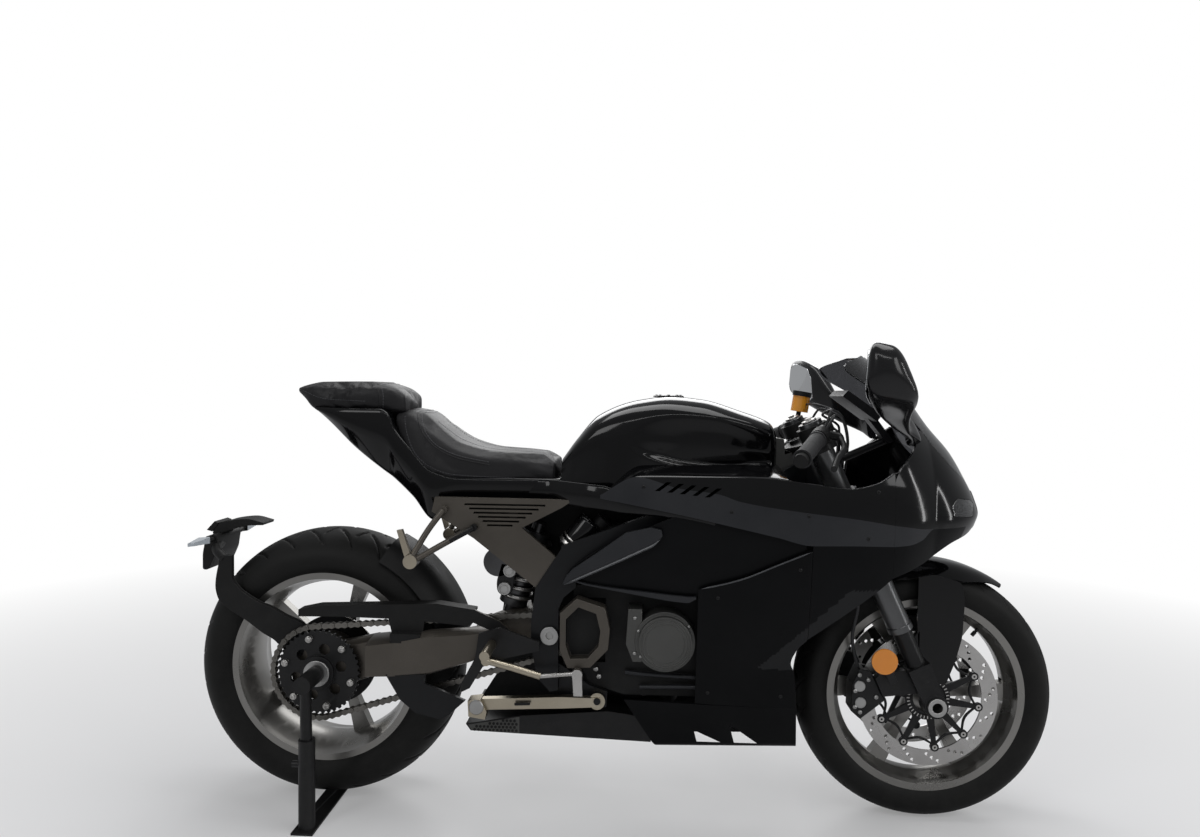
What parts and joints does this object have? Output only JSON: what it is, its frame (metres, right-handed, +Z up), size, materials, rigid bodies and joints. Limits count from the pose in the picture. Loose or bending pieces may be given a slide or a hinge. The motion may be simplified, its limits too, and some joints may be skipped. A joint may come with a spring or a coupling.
{
  "type": "sport motorcycle on a single-sided paddock stand",
  "caption": "Faired sport motorcycle with steered fork, turning wheels, single-sided swingarm, chain drive, folding side stand and the one-sided post stand that holds its rear wheel up.",
  "frame": {"origin": "on the floor, midway between the front and rear ends of the tyres, in the plane of the wheels", "axes": "+X forward to the front wheel, +Y to the rider's left, +Z up"},
  "size_m": [2.0609, 0.86, 1.113],
  "materials": {
    "tyre_rubber": "matte",
    "wheel_bronze": "satin",
    "disc_steel": "brushed",
    "black_metal": "satin",
    "bare_steel": "satin",
    "alloy": "satin",
    "fork_grey": "satin",
    "gloss_black": "gloss",
    "grey_panel": "satin",
    "matte_black": "matte",
    "seat_cover": "grained",
    "smoke_screen": "clear",
    "lamp_lens": "clear",
    "mirror_shell": "gloss",
    "orange_lens": "gloss",
    "amber_fluid": "gloss",
    "lamp_cluster": "gloss",
    "chain_steel": "satin",
    "shock_mix": "satin",
    "radiator_black": "matte",
    "silver_leg": "satin"
  },
  "bodies": {
    "chassis": {"main_frame": "black_metal", "pivot_shaft": "bare_steel", "subframe": "grey_panel", "engine_block": "black_metal", "engine_covers": "black_metal", "engine_sprocket": "bare_steel", "swingarm": "black_metal", "drive_chain": "chain_steel", "chain_guards": "matte_black", "rear_hugger": "matte_black", "plate_hanger": "matte_black", "rear_lamps": "lamp_cluster", "rear_shock": "shock_mix", "fuel_tank": "gloss_black", "rider_seat": "seat_cover", "pillion_pad": "seat_cover", "tail_fairing": "gloss_black", "side_fairing_right": "gloss_black", "side_fairing_left": "gloss_black", "middle_panels": "grey_panel", "nose_fairing": "gloss_black", "headlamps": "lamp_lens", "windscreen": "smoke_screen", "instrument_panel": "matte_black", "mirrors": "mirror_shell", "lower_fairing": "gloss_black", "radiator": "radiator_black", "exhaust_silencer": "black_metal", "foot_controls": "bare_steel", "footrests": "alloy", "paddock_stand": "black_metal"},
    "front_wheel": {"front_tyre": "tyre_rubber", "front_rim": "wheel_bronze", "front_discs": "disc_steel"},
    "rear_wheel": {"rear_tyre": "tyre_rubber", "rear_rim": "wheel_bronze", "rear_sprocket": "black_metal", "rear_axle": "bare_steel", "rear_disc": "disc_steel"},
    "steering": {"fork_outer_tubes": "fork_grey", "fork_legs": "bare_steel", "fork_clamps": "black_metal", "front_axle": "bare_steel", "handlebars": "black_metal", "control_levers": "black_metal", "brake_reservoir": "amber_fluid", "front_calipers": "fork_grey", "front_mudguard": "gloss_black", "side_reflectors": "orange_lens", "brake_hoses": "matte_black"},
    "side_stand": {"side_stand": "silver_leg"}
  },
  "joints": [
    {"name": "steering_turn", "type": "hinge", "parent": "chassis", "child": "steering", "pos_m": [0.7032, 0, 0.28756], "axis": [-0.4147, 0, 0.91], "range_deg": [-25, 25]},
    {"name": "front_wheel_spin", "type": "hinge", "parent": "steering", "child": "front_wheel", "pos_m": [0.7305, 0, 0.3], "axis": [0, 1, 0], "continuous": true},
    {"name": "rear_wheel_spin", "type": "hinge", "parent": "chassis", "child": "rear_wheel", "pos_m": [-0.7045, 0, 0.337], "axis": [0, 1, 0], "continuous": true},
    {"name": "side_stand_fold", "type": "hinge", "parent": "chassis", "child": "side_stand", "pos_m": [-0.04, -0.152, 0.3], "axis": [0, -0.9527, 0.3038], "range_deg": [0, 95]}
  ]
}
